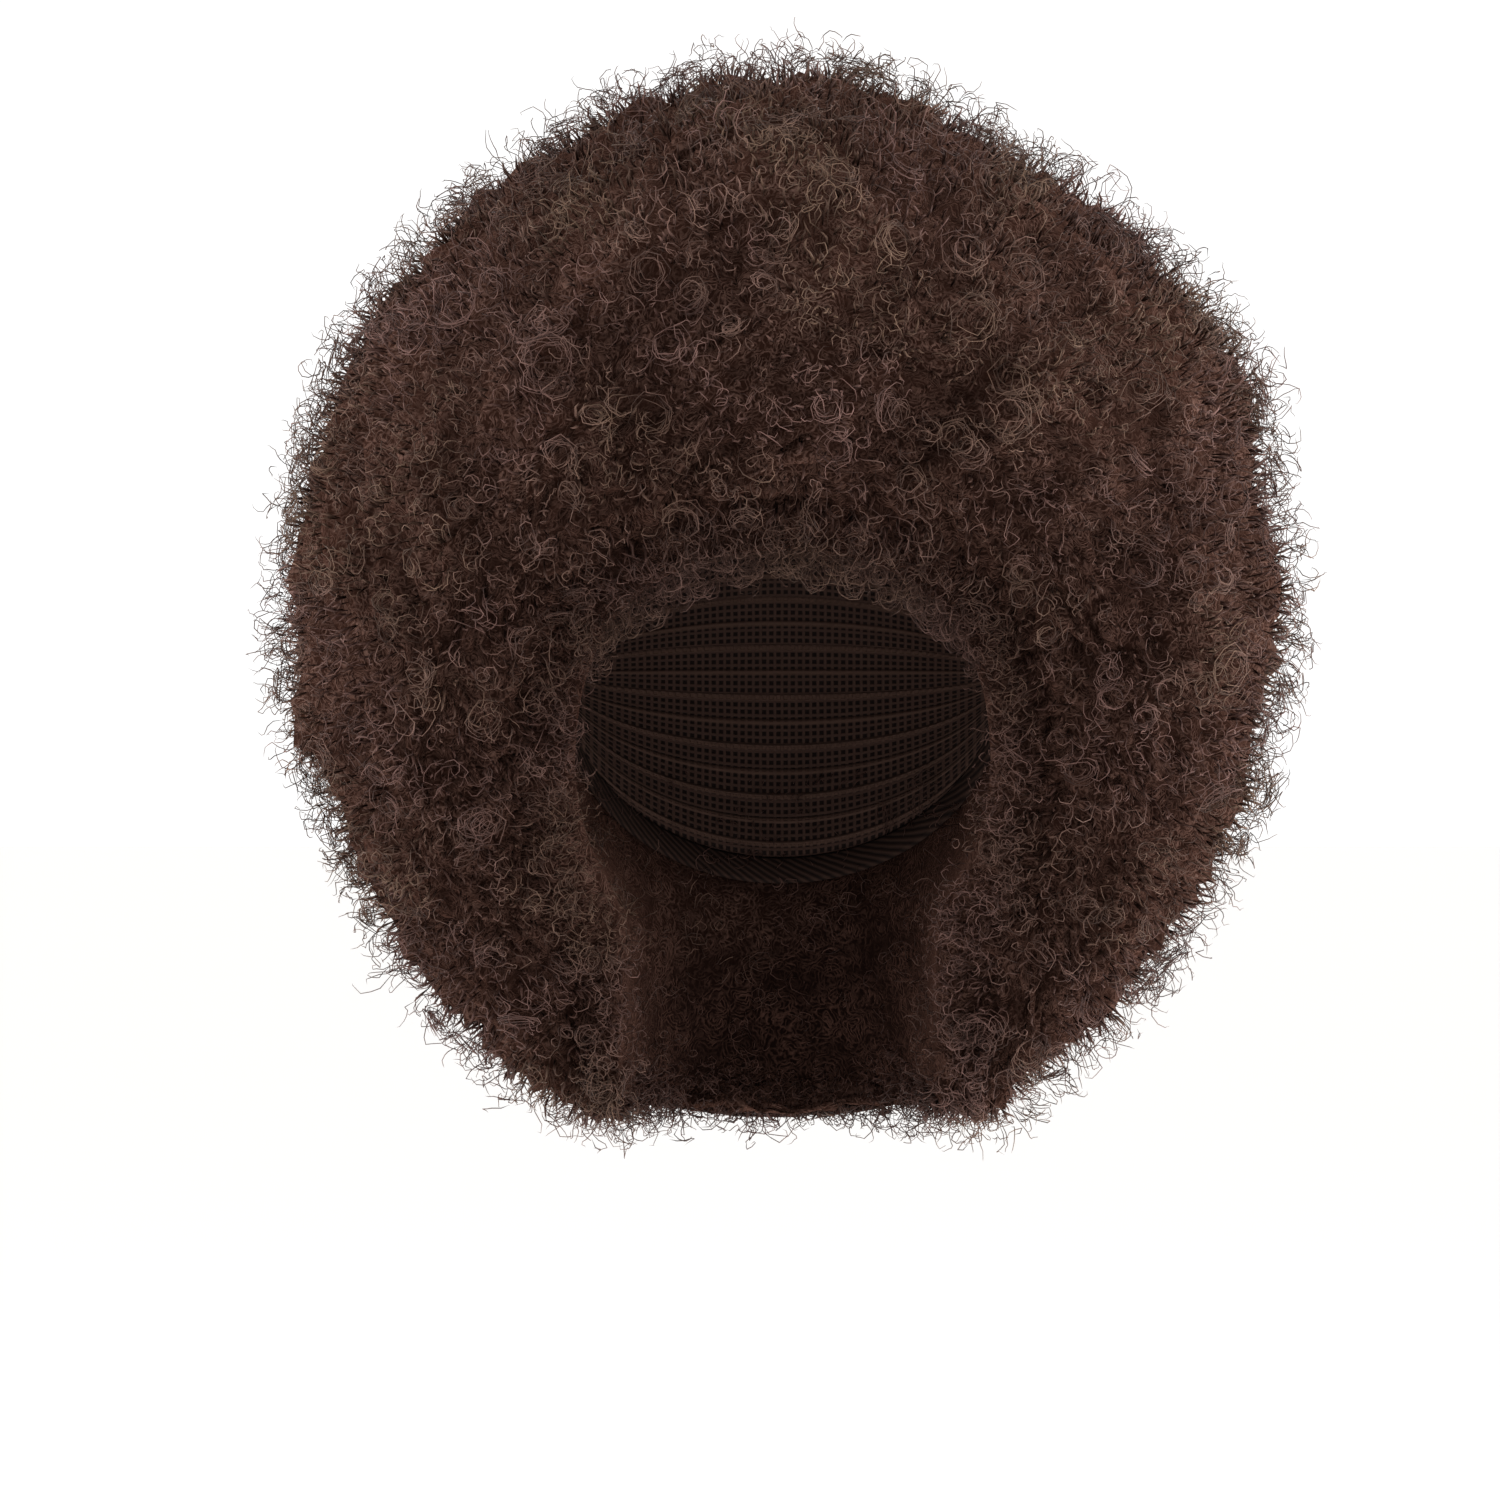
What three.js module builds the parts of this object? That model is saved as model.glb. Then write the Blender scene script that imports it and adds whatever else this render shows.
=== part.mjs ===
// Round afro wig: a stretch-net cap with an elastic edge band, a deep ball of tight curls
// and a sparse front hairline. Millimetres, +Z up, face opening towards -Y. The origin is
// the point inside the crown of the cap where the top of the head sits.

import * as THREE from 'three';

// Head and neck that the wig goes over
const HEAD_BREADTH = 154;
const HEAD_LENGTH = 190;
const CROWN_HEIGHT = 100;
const NECK_BREADTH = 104;
const NECK_DEPTH = 108;
const NECK_SETBACK = 8;
const NAPE_BLEND = 14;

// Cap and elastic band
const CAP_WALL = 1.5;
const BAND_WALL = 1.8;
const BAND_WIDTH = 12;
const PIECE_GAP = 0.3;

// Ball of curls, measured half way up the locks
const BALL_WIDTH = 350;
const BALL_HEIGHT = 354;
const BALL_FRONT_DEPTH = 184;
const BALL_BACK_DEPTH = 175;
const BALL_CENTRE_DROP = 66;
const BALL_SETBACK = 27;
const LEAST_HAIR_DEPTH = 14;
const LIP_FULLNESS = 2.7;
const LOCK_SPACING = 41;
const LOCK_HEIGHT = 11;
const LOCK_SLOPE = 0.45;
const LOCK_FULL_DEPTH = 70;
const LOCK_JITTER = 0.6;
const LOCK_HEIGHT_SPREAD = 0.6;
const LOCK_CUTOFF = 8;

// Front hairline
const HAIRLINE_WIDTH = 11;
const HAIRLINE_ROOT_DEPTH = 4;
const HAIRLINE_MIDDLE_DEPTH = 3.3;
const HAIRLINE_TIP_DEPTH = 1.5;
const HAIRLINE_MIDDLE = 0.55;
const HAIRLINE_END_WIDTH = 0.4;
const HAIRLINE_END_TAPER = 1 / 6;
const HAIRLINE_HALF_TURN = 52;
const HAIRLINE_CURLS = 15;
const HAIRLINE_SCALLOP = 0.3;

// All the pieces are bowls round one axis, which leans back from upright so that the
// bowl's rim runs from the forehead to the nape. A point is given by its turn round that
// axis, 0 at the forehead and 180 at the nape, and its lean away from it, in degrees.
const BOWL_TILT = 45;
const BOWL_CENTRE_DROP = 95;
const BOWL_SETBACK = 10;

// Facets
const HAIR_COLUMNS = 96;
const CAP_COLUMNS = 48;
const CROWN_ROWS = 24;
const LIP_ROWS = 19;
const CAP_ROWS = 9;
const NAPE_ROWS = 4;
const HAIRLINE_COLUMNS = 60;
const SEARCH_STEPS = 32;

// Rings near a bowl's axis are short, so they have fewer columns: before each ring in the
// table, the columns are divided by parts.
const SHORT_RINGS = [
  { before: 2, parts: 8 },
  { before: 4, parts: 4 },
  { before: 8, parts: 2 },
];

// Edge of the cap. across is a share of half the head's breadth, forward of half its
// length, and drop, from the top of the head, of the crown's height.
const CAP_EDGE = [
  { at: 'forehead', across: 0, forward: 0.93, drop: 0.52 },
  { at: 'temple', across: 0.8, forward: 0.72, drop: 0.66 },
  { at: 'ear tab', across: 0.97, forward: 0.42, drop: 1 },
  { at: 'over the ear', across: 1, forward: -0.04, drop: 1.04 },
  { at: 'behind the ear', across: 0.93, forward: -0.28, drop: 1.28 },
  { at: 'nape', across: 0, forward: -0.76, drop: 1.72 },
];

// Edge of the curls, in the same shares. lip is the angle, in degrees, over which the
// ball rounds in to its edge, and a higher LIP_FULLNESS makes that round squarer.
const HAIR_EDGE = [
  { at: 'forehead', across: 0, forward: 0.93, drop: 0.55, lip: 42 },
  { at: 'brow', across: 0.45, forward: 0.88, drop: 0.6, lip: 42 },
  { at: 'temple', across: 0.75, forward: 0.74, drop: 0.76, lip: 40 },
  { at: 'cheekbone', across: 0.87, forward: 0.56, drop: 1, lip: 37 },
  { at: 'before the ear', across: 0.88, forward: 0.4, drop: 1.3, lip: 34 },
  { at: 'jaw', across: 0.8, forward: 0.18, drop: 1.7, lip: 28 },
  { at: 'side of the neck', across: 0.68, forward: -0.12, drop: 2.36, lip: 15 },
  { at: 'behind the neck', across: 0.54, forward: -0.46, drop: 2.44, lip: 14 },
  { at: 'nape', across: 0, forward: -0.64, drop: 2.44, lip: 16 },
];

// Outline of the ball from the front. turn runs clockwise from the top, and reach is a
// share of the plain ellipsoid's.
const OUTLINE = [
  { turn: 0, reach: 1.05 },
  { turn: 20, reach: 1.011 },
  { turn: 40, reach: 1 },
  { turn: 60, reach: 1.041 },
  { turn: 80, reach: 1.007 },
  { turn: 100, reach: 1.016 },
  { turn: 120, reach: 1.029 },
  { turn: 140, reach: 1.09 },
  { turn: 160, reach: 1.143 },
  { turn: 180, reach: 1.07 },
  { turn: 200, reach: 1.155 },
  { turn: 220, reach: 1.065 },
  { turn: 240, reach: 1.025 },
  { turn: 260, reach: 1.008 },
  { turn: 280, reach: 1 },
  { turn: 300, reach: 1.005 },
  { turn: 320, reach: 1.005 },
  { turn: 340, reach: 1.018 },
  { turn: 360, reach: 1.05 },
];

const degrees = THREE.MathUtils.radToDeg;
const radians = THREE.MathUtils.degToRad;
const tilt = radians(BOWL_TILT);
const bowlAxis = new THREE.Vector3(0, Math.sin(tilt), Math.cos(tilt));
const bowlFront = new THREE.Vector3(0, -Math.cos(tilt), Math.sin(tilt));
const bowlSide = new THREE.Vector3(1, 0, 0);
const bowlCentre = new THREE.Vector3(0, BOWL_SETBACK, -BOWL_CENTRE_DROP);
const ballCentre = new THREE.Vector3(0, BALL_SETBACK, -BALL_CENTRE_DROP);

// Unit ray from the bowl's centre at a turn and a lean.
function rayAt(turn, lean) {
  const around = bowlFront.clone().multiplyScalar(Math.cos(radians(turn)));
  around.addScaledVector(bowlSide, Math.sin(radians(turn)));
  const ray = bowlAxis.clone().multiplyScalar(Math.cos(radians(lean)));
  return ray.addScaledVector(around, Math.sin(radians(lean)));
}

// Turn and lean of an edge row, from its shares of the head's sizes.
function placeRow(row) {
  const point = new THREE.Vector3(
    row.across * HEAD_BREADTH / 2,
    -row.forward * HEAD_LENGTH / 2,
    -row.drop * CROWN_HEIGHT,
  );
  const ray = point.sub(bowlCentre).normalize();
  const turn = degrees(Math.atan2(ray.dot(bowlSide), ray.dot(bowlFront)));
  return { ...row, turn, lean: degrees(Math.acos(ray.dot(bowlAxis))) };
}

// Smooth curve through a table's rows: cubic pieces whose slope at a row is that of the
// line through its neighbours, and level at both ends.
function curveThrough(rows, column) {
  const last = rows.length - 1;
  const slopes = rows.map((row, i) => {
    const before = rows[Math.max(i - 1, 0)];
    const after = rows[Math.min(i + 1, last)];
    const level = i === 0 || i === last;
    return level ? 0 : (after[column] - before[column]) / (after.turn - before.turn);
  });
  return (turn) => {
    const next = rows.findIndex((row) => row.turn >= turn);
    const j = next < 0 ? last : Math.max(next, 1);
    const width = rows[j].turn - rows[j - 1].turn;
    const t = THREE.MathUtils.clamp((turn - rows[j - 1].turn) / width, 0, 1);
    const ease = t * t * (3 - 2 * t);
    const start = t * (1 - t) * (1 - t) * width * slopes[j - 1];
    const end = t * t * (t - 1) * width * slopes[j];
    return THREE.MathUtils.lerp(rows[j - 1][column], rows[j][column], ease) + start + end;
  };
}

// The two halves of the wig's edges mirror each other.
function mirrored(curve) {
  return (turn) => curve(Math.abs(THREE.MathUtils.euclideanModulo(turn + 180, 360) - 180));
}

const capEdgeRows = CAP_EDGE.map(placeRow);
const hairEdgeRows = HAIR_EDGE.map(placeRow);
const capEdge = mirrored(curveThrough(capEdgeRows, 'lean'));
const hairEdge = mirrored(curveThrough(hairEdgeRows, 'lean'));
const hairLip = mirrored(curveThrough(hairEdgeRows, 'lip'));
const outlineReach = curveThrough(OUTLINE, 'reach');

// Larger of two lengths, with the crease between them rounded over the blend.
function smoothMax(a, b, blend) {
  const overlap = Math.max(blend - Math.abs(a - b), 0);
  return Math.max(a, b) + overlap * overlap / (4 * blend);
}

// Length of a ray from the bowl's centre to the head's ellipsoid, swelled by a clearance.
function headReach(ray, clearance) {
  const half = new THREE.Vector3(
    HEAD_BREADTH / 2 + clearance,
    HEAD_LENGTH / 2 + clearance,
    CROWN_HEIGHT + clearance,
  );
  const start = bowlCentre.clone().sub(new THREE.Vector3(0, 0, -CROWN_HEIGHT)).divide(half);
  const step = ray.clone().divide(half);
  const a = step.dot(step);
  const b = start.dot(step);
  return (Math.sqrt(b * b - a * (start.dot(start) - 1)) - b) / a;
}

// Length of a downward ray to the neck's upright elliptic cylinder, or 0 if it rises.
function neckReach(ray, clearance) {
  if (ray.z >= 0) {
    return 0;
  }
  const halfX = NECK_BREADTH / 2 + clearance;
  const halfY = NECK_DEPTH / 2 + clearance;
  const startY = (bowlCentre.y - NECK_SETBACK) / halfY;
  const a = (ray.x / halfX) ** 2 + (ray.y / halfY) ** 2;
  const b = startY * ray.y / halfY;
  return (Math.sqrt(b * b - a * (startY * startY - 1)) - b) / a;
}

// Whether a point lies in the ball: an ellipsoid, deeper behind than before, whose reach
// follows the outline from the front as far as it faces away from the view.
function inBall(point) {
  const offset = point.clone().sub(ballCentre);
  const depth = offset.y < 0 ? BALL_FRONT_DEPTH : BALL_BACK_DEPTH;
  const turn = degrees(Math.atan2(offset.x, offset.z));
  const share = outlineReach(THREE.MathUtils.euclideanModulo(turn, 360));
  const sideways = (offset.x ** 2 + offset.z ** 2) / offset.lengthSq();
  const size = offset.divide(new THREE.Vector3(BALL_WIDTH / 2, depth, BALL_HEIGHT / 2));
  return size.length() < 1 + (share - 1) * sideways;
}

// Length of a ray from the bowl's centre to the ball's surface, by halving.
function ballReach(ray) {
  let near = 0;
  let far = BALL_WIDTH + BALL_HEIGHT + BALL_BACK_DEPTH;
  for (let step = 0; step < SEARCH_STEPS; step += 1) {
    const middle = (near + far) / 2;
    if (inBall(bowlCentre.clone().addScaledVector(ray, middle))) {
      near = middle;
    } else {
      far = middle;
    }
  }
  return near;
}

// Repeatable spread of numbers from 0 to 1.
function spread(seed) {
  const wave = Math.sin(seed * 127.1 + 311.7) * 43758.5453;
  return wave - Math.floor(wave);
}

// Middles of the locks: points on a golden-angle spiral over the sphere, each moved a
// little off its place, with a height of its own.
function lockMiddles() {
  const radius = (BALL_WIDTH + BALL_HEIGHT) / 4;
  const count = Math.round(4 * Math.PI * (radius / LOCK_SPACING) ** 2);
  const goldenTurn = Math.PI * (3 - Math.sqrt(5));
  return Array.from({ length: count }, (unused, i) => {
    const level = 1 - (2 * i + 1) / count;
    const jitter = LOCK_JITTER * LOCK_SPACING / radius * (spread(i) - 0.5);
    const turn = i * goldenTurn + jitter;
    const round = Math.sqrt(1 - level * level);
    const way = new THREE.Vector3(round * Math.cos(turn), round * Math.sin(turn), level);
    return { way, height: 1 + LOCK_HEIGHT_SPREAD * (spread(i + 0.5) - 0.5) };
  });
}

const locks = lockMiddles();
const lockAngle = LOCK_SPACING / (BALL_WIDTH + BALL_HEIGHT) * 4;

// Height of the locks over the ball: the sum of a bell-shaped mound on each middle, less
// the sum's mean, so that neighbouring mounds meet in a rounded hollow. Past the cutoff, in
// squared widths of the bell, a mound has faded to nothing.
function lockHeight(ray) {
  let sum = 0;
  for (const lock of locks) {
    const away = (1 - lock.way.dot(ray)) * 2 / (LOCK_SLOPE * lockAngle) ** 2;
    sum += away < LOCK_CUTOFF ? lock.height * Math.exp(-away) : 0;
  }
  return LOCK_HEIGHT * (sum - Math.PI * LOCK_SLOPE ** 2);
}

// Inside of the curls: over the cap, and down round the neck.
function hairInside(ray) {
  const clearance = CAP_WALL + PIECE_GAP;
  return smoothMax(headReach(ray, clearance), neckReach(ray, clearance), NAPE_BLEND);
}

// Outside of the curls, where fullness falls from 1 on the ball to 0 at the edge.
function hairOutside(ray, fullness) {
  const inside = hairInside(ray);
  const depth = smoothMax(ballReach(ray) - inside, LEAST_HAIR_DEPTH, LEAST_HAIR_DEPTH);
  const lockShare = Math.min(1, depth / LOCK_FULL_DEPTH);
  return inside + (depth + lockHeight(ray) * lockShare) * fullness;
}

// Number of columns of a ring, counted from the axis.
function columnsOf(ringIndex, columns) {
  const row = SHORT_RINGS.find(({ before }) => ringIndex < before);
  return row ? columns / row.parts : columns;
}

// Ring of points: a lean and a reach for each turn.
function ring(columns, leanAt, reachAt) {
  return Array.from({ length: columns }, (unused, i) => {
    const turn = 360 * i / columns;
    const ray = rayAt(turn, leanAt(turn));
    return bowlCentre.clone().addScaledVector(ray, reachAt(ray, turn));
  });
}

// Pole of a bowl: the one point on its axis.
function pole(reachAt) {
  return [bowlCentre.clone().addScaledVector(bowlAxis, reachAt(bowlAxis, 0))];
}

// Triangles between two neighbouring rings, of equal length, or one twice the other, or
// one of them a single point. Which ring comes first changes no diagonal, so that two
// surfaces over the same rays stay the same distance apart.
function stitch(a, b, triangles) {
  const upperFirst = a[0].dot(bowlAxis) >= b[0].dot(bowlAxis);
  const aIsLonger = a.length > b.length || (a.length === b.length && upperFirst);
  const longer = aIsLonger ? a : b;
  const shorter = aIsLonger ? b : a;
  const add = (p, q, r) => triangles.push(aIsLonger ? [p, q, r] : [p, r, q]);
  const n = longer.length;
  for (let i = 0; i < shorter.length && shorter.length > 1; i += 1) {
    const s0 = shorter[i];
    const s1 = shorter[(i + 1) % shorter.length];
    if (n === shorter.length) {
      add(longer[i], longer[(i + 1) % n], s0);
      add(longer[(i + 1) % n], s1, s0);
    } else {
      const middle = longer[2 * i + 1];
      add(longer[2 * i], middle, s0);
      add(middle, s1, s0);
      add(middle, longer[(2 * i + 2) % n], s1);
    }
  }
  for (let i = 0; i < n && shorter.length === 1; i += 1) {
    add(longer[i], longer[(i + 1) % n], shorter[0]);
  }
}

// Closed surface through a run of rings, turned so that its faces point out.
function surfaceThrough(rings) {
  const triangles = [];
  for (let i = 0; i + 1 < rings.length; i += 1) {
    stitch(rings[i], rings[i + 1], triangles);
  }
  const volume = triangles.reduce((sum, [p, q, r]) => sum + p.dot(q.clone().cross(r)), 0);
  const corners = triangles.flatMap(([p, q, r]) => (volume > 0 ? [p, q, r] : [p, r, q]));
  const geometry = new THREE.BufferGeometry().setFromPoints(corners);
  geometry.computeVertexNormals();
  return geometry;
}

// Lean of the line where the cap ends and the band begins.
function bandTop(turn) {
  const reach = headReach(rayAt(turn, capEdge(turn)), 0);
  return capEdge(turn) - degrees(BAND_WIDTH / reach);
}

// Small step of lean that leaves the gap between pieces at a turn.
function gapLean(turn) {
  return degrees(PIECE_GAP / headReach(rayAt(turn, capEdge(turn)), 0));
}

// Rings over the head from the pole to the last lean.
function crownRings(clearance, lastLean) {
  const rings = [pole((ray) => headReach(ray, clearance))];
  for (let i = 1; i <= CAP_ROWS; i += 1) {
    const leanAt = (turn) => lastLean(turn) * i / CAP_ROWS;
    const columns = columnsOf(2 * i - 1, CAP_COLUMNS);
    rings.push(ring(columns, leanAt, (ray) => headReach(ray, clearance)));
  }
  return rings;
}

// Net cap: a thin dome over the head, open below.
function capGeometry() {
  const outside = crownRings(CAP_WALL, bandTop);
  const inside = crownRings(0, bandTop);
  return surfaceThrough([...outside, ...inside.reverse()]);
}

// Elastic band, sewn edge to edge to the cap and a little thicker towards the head.
function bandGeometry() {
  const top = (turn) => bandTop(turn) + gapLean(turn);
  const innerClearance = CAP_WALL - BAND_WALL;
  const outside = (ray) => headReach(ray, CAP_WALL);
  const inside = (ray) => headReach(ray, innerClearance);
  const section = [
    ring(CAP_COLUMNS, top, outside),
    ring(CAP_COLUMNS, capEdge, outside),
    ring(CAP_COLUMNS, capEdge, inside),
    ring(CAP_COLUMNS, top, inside),
  ];
  return surfaceThrough([...section, section[0]]);
}

// Ball of curls, hollow where the head and neck go: out from the pole over the locks,
// round the lip to the edge, and back inside over the neck, the band and the cap.
function hairGeometry() {
  const lipStart = (turn) => hairEdge(turn) - hairLip(turn);
  const rings = [pole((ray) => hairOutside(ray, 1))];
  for (let i = 1; i <= CROWN_ROWS; i += 1) {
    const leanAt = (turn) => lipStart(turn) * i / CROWN_ROWS;
    rings.push(ring(columnsOf(i, HAIR_COLUMNS), leanAt, (ray) => hairOutside(ray, 1)));
  }
  for (let i = 1; i <= LIP_ROWS; i += 1) {
    const phase = i / LIP_ROWS * Math.PI / 2;
    const out = Math.sin(phase) ** (2 / LIP_FULLNESS);
    const fullness = i === LIP_ROWS ? 0 : Math.cos(phase) ** (2 / LIP_FULLNESS);
    const leanAt = (turn) => lipStart(turn) + hairLip(turn) * out;
    rings.push(ring(HAIR_COLUMNS, leanAt, (ray) => hairOutside(ray, fullness)));
  }
  for (let i = NAPE_ROWS - 1; i >= 0; i -= 1) {
    const share = i / NAPE_ROWS;
    const leanAt = (turn) => THREE.MathUtils.lerp(capEdge(turn), hairEdge(turn), share);
    const columns = i === NAPE_ROWS - 1 ? HAIR_COLUMNS : CAP_COLUMNS;
    rings.push(ring(columns, leanAt, hairInside));
  }
  const overCap = crownRings(CAP_WALL + PIECE_GAP, bandTop);
  return surfaceThrough([...rings, ...overCap.reverse()]);
}

// Front hairline: a thin strip of short curls from temple to temple, set against the
// lip of the ball, thinning to a scalloped edge with one scallop for each curl.
function hairlineGeometry() {
  const sections = [];
  for (let i = 0; i <= HAIRLINE_COLUMNS; i += 1) {
    const share = i / HAIRLINE_COLUMNS;
    const turn = (2 * share - 1) * HAIRLINE_HALF_TURN;
    const root = hairEdge(turn) + gapLean(turn);
    const wave = Math.abs(Math.sin(share * HAIRLINE_CURLS * Math.PI));
    const taper = Math.min(1, share / HAIRLINE_END_TAPER, (1 - share) / HAIRLINE_END_TAPER);
    const scallop = 1 - HAIRLINE_SCALLOP * (1 - wave);
    const width = HAIRLINE_WIDTH * scallop * THREE.MathUtils.lerp(HAIRLINE_END_WIDTH, 1, taper);
    const angle = degrees(width / headReach(rayAt(turn, root), 0));
    const at = (down, height) => {
      const ray = rayAt(turn, root + down * angle);
      return bowlCentre.clone().addScaledVector(ray, headReach(ray, PIECE_GAP) + height);
    };
    sections.push([
      at(0, 0),
      at(0, HAIRLINE_ROOT_DEPTH),
      at(HAIRLINE_MIDDLE, HAIRLINE_MIDDLE_DEPTH),
      at(1, HAIRLINE_TIP_DEPTH),
      at(1, 0),
      at(HAIRLINE_MIDDLE, 0),
    ]);
  }
  const endPoint = (section) => {
    const sum = section.reduce((total, point) => total.add(point), new THREE.Vector3());
    return [sum.divideScalar(section.length)];
  };
  const ends = [endPoint(sections[0]), endPoint(sections[sections.length - 1])];
  return surfaceThrough([ends[0], ...sections, ends[1]]);
}

const curlFibre = new THREE.MeshStandardMaterial({
  color: 0x3f2a24,
  roughness: 0.8,
  metalness: 0,
});
const fineFibre = new THREE.MeshStandardMaterial({
  color: 0x2c1b16,
  roughness: 0.75,
  metalness: 0,
});
const capNet = new THREE.MeshStandardMaterial({
  color: 0x241713,
  roughness: 0.85,
  metalness: 0,
});
const elastic = new THREE.MeshStandardMaterial({
  color: 0x1d1310,
  roughness: 0.9,
  metalness: 0,
});

function piece(name, geometry, material) {
  const mesh = new THREE.Mesh(geometry, material);
  mesh.name = name;
  return mesh;
}

const wig = new THREE.Group();
wig.add(piece('cap', capGeometry(), capNet));
wig.add(piece('cap_band', bandGeometry(), elastic));
wig.add(piece('hair', hairGeometry(), curlFibre));
wig.add(piece('front_hairline', hairlineGeometry(), fineFibre));

export default wig;
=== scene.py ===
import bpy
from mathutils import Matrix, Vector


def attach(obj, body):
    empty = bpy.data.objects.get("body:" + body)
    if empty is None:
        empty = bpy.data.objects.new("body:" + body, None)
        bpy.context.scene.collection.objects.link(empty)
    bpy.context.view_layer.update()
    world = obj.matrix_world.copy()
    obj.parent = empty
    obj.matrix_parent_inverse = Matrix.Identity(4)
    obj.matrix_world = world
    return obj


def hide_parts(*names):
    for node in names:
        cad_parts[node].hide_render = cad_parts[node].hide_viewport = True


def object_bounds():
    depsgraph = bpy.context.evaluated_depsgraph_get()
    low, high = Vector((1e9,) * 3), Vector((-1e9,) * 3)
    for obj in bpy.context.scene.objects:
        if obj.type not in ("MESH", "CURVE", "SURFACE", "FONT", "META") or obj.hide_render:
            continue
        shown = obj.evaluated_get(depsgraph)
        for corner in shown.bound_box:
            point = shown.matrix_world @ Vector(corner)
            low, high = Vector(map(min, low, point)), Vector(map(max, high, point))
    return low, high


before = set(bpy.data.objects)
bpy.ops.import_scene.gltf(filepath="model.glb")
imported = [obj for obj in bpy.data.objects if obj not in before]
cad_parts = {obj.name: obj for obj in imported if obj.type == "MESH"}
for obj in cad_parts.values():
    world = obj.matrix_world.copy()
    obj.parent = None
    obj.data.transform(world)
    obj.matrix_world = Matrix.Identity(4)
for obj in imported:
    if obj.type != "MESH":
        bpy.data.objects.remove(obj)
packed_box = [list(corner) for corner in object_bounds()]

import math

import bpy
import numpy as np

MM = 0.001
SEED = 20260
rng = np.random.default_rng(SEED)

# The photo's frame: its middle on the object's front plane, its width there, and how far
# away the camera stands
PHOTO_MIDDLE_X = -11.0 * MM
PHOTO_MIDDLE_Z = -120.8 * MM
PHOTO_WIDTH = 517.5 * MM
CAMERA_DISTANCE = 1.8
SENSOR_WIDTH = 36.0

# Sizes of the bowl that every piece of the wig is built round, as the frame has them
BOWL_CENTRE = np.array([0.0, 10.0, -95.0]) * MM
CAP_RADIUS = 94.0 * MM
MERGE = 0.01 * MM

# Body of curls under the strands: how deep it lies, how far from the hair's edge it
# reaches that depth, and how uneven it is
BODY_SINK = 9.0 * MM
BODY_SINK_REACH = 18.0 * MM
BODY_ROUGHNESS = 2.2 * MM

# Locks stand about this far over the hollows between them, and the openings' shade reaches this far
# over the hair round them. Both are painted shade in the colours: the hollows are painted darker,
# and the hair at the edge keeps only this share of the light.
LOCK_RELIEF = 12.0 * MM
SHADE_REACH = 32.0 * MM
EDGE_LIGHT = 0.4
SMOOTHING_STEPS = 30

# A triangle is outside where its facing and its direction from the bowl's centre have at
# least this dot product, so that the rounded lip round the openings still counts
OUTSIDE_FACING = -0.35

# Parts of the outside: the top, where the direction from the ball's middle rises more
# than this, and the sides by their turn from the front, in degrees
TOP_RISE = 0.6
FRONT_TURN = 50
SIDE_TURN = 125

# Strands: a strand's width in the map, the size that they have at the hair's edge, and
# how far from it they reach their full size
TONE_WIDTH = 0.012
TONE_PATCH = 60.0 * MM
SHORTEST_SHARE = 0.6
FULL_SIZE_REACH = 28.0 * MM

# A bundle's radius is drawn with this power, which favours small curls, and a strand's
# own radius is the bundle's times the least share and up to the spread more
SMALL_CURLS = 1.3
RING_LEAST = 0.55
RING_SPREAD = 0.5

# Share of the spread of the roots' angles that a strand has of its own, and the share of
# its length in which its root dips
OWN_START = 0.35
DIP_LENGTH = 0.25

# A strand's radius wavers by this share, over this many radians from root to tip, from
# a phase by chance
WAVER = 0.09
WAVER_TURN = 23
WAVER_PHASE = 6.3

# Triangles spent on strands outside, on the inside below a height, and along the edge
OUTSIDE_BUDGET = 800000
INSIDE_BUDGET = 30000
INSIDE_TOP = -130.0 * MM
EDGE_BUDGET = 92000
EDGE_WIDTH = 20.0 * MM

# Curls of the hairline, rooted where the strip faces away from the bowl's centre by at
# least this dot product, and the least and the spread of their tones
HAIRLINE_CURLS = 220
HAIRLINE_FACING = 0.2
HAIRLINE_TONE = 0.05
HAIRLINE_TONE_SPREAD = 0.4

# The floor lies far below, because the wig is held up
FLOOR_DROP = 450.0 * MM
FLOOR_REACH = 30.0


# Colour and node helpers

def linear(colour):
    """Linear RGBA of an sRGB hex colour: each channel through the sRGB curve."""
    channels = [int(colour[i:i + 2], 16) / 255 for i in (1, 3, 5)]
    curved = [c / 12.92 if c <= 0.04045 else ((c + 0.055) / 1.055) ** 2.4 for c in channels]
    return (*curved, 1.0)


def add_node(material, kind, inputs=(), **settings):
    """Adds a node, applies its settings, and sets or links each of its inputs."""
    node = material.node_tree.nodes.new(kind)
    for name, value in settings.items():
        setattr(node, name, value)
    for name, value in dict(inputs).items():
        if isinstance(value, bpy.types.NodeSocket):
            material.node_tree.links.new(value, node.inputs[name])
        else:
            node.inputs[name].default_value = value
    return node


def new_material(name):
    """An empty node material with its output node."""
    material = bpy.data.materials.new(name)
    material.use_nodes = True
    material.node_tree.nodes.clear()
    add_node(material, "ShaderNodeOutputMaterial")
    return material


def finish_material(material, shader):
    """Joins the shader to the material's output."""
    output = material.node_tree.nodes["Material Output"]
    material.node_tree.links.new(shader.outputs[0], output.inputs["Surface"])
    return material


# Mesh helpers

def unit(vectors):
    """Vectors at length 1 along their last axis."""
    length = np.linalg.norm(vectors, axis=-1, keepdims=True)
    return vectors / np.maximum(length, 1e-12)


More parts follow.
